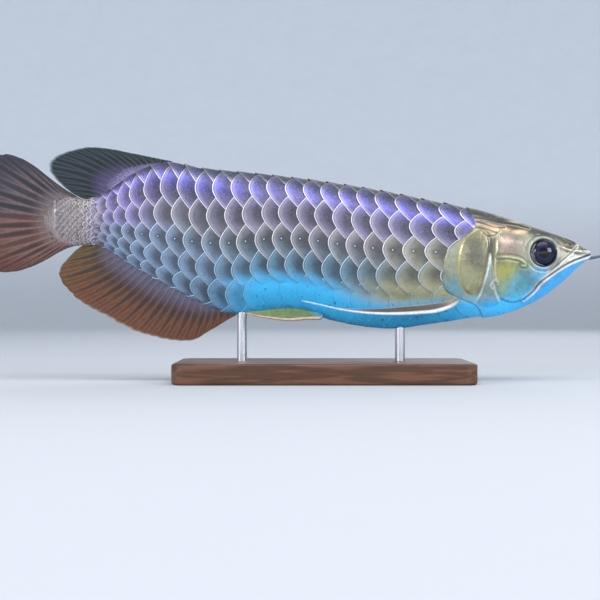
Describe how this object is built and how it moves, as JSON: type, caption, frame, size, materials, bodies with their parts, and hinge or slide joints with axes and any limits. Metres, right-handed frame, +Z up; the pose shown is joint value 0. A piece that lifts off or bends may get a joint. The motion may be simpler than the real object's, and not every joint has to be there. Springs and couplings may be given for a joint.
{
  "type": "asian arowana museum model",
  "caption": "Life-size still model of a live Asian arowana swimming, held on a plain display stand by two rods.",
  "frame": {"origin": "on the floor, under the middle of the whole model's box", "axes": "+X towards the fish's snout, +Y to its left side, +Z up"},
  "size_m": [0.3937, 0.093, 0.1406],
  "materials": {
    "head_skin": "wet satin skin",
    "jaw_skin": "wet satin skin",
    "gill_plate": "satin bone plate under thin skin",
    "eye": "clear gloss",
    "scaled_skin": "wet scales with a pearly sheen",
    "tail_base_skin": "small pale scales",
    "dorsal_fin": "satin membrane with rays",
    "anal_fin": "satin membrane with rays",
    "caudal_fin": "satin membrane with rays",
    "pectoral_fin": "satin membrane with rays",
    "pelvic_fin": "satin membrane with rays",
    "barbel": "wet satin skin",
    "rod": "satin",
    "base": "satin varnish"
  },
  "bodies": {
    "root": {"head": "head_skin", "lower_jaw": "jaw_skin", "gill_cover_right": "gill_plate", "gill_cover_left": "gill_plate", "eye_right": "eye", "eye_left": "eye", "barbel_right": "barbel", "barbel_left": "barbel", "trunk": "scaled_skin", "tail_base": "tail_base_skin", "dorsal_fin": "dorsal_fin", "anal_fin": "anal_fin", "caudal_fin": "caudal_fin", "pectoral_fin_right": "pectoral_fin", "pectoral_fin_left": "pectoral_fin", "pelvic_fin_right": "pelvic_fin", "pelvic_fin_left": "pelvic_fin", "stand_base": "base", "stand_rod_front": "rod", "stand_rod_rear": "rod"}
  },
  "joints": []
}
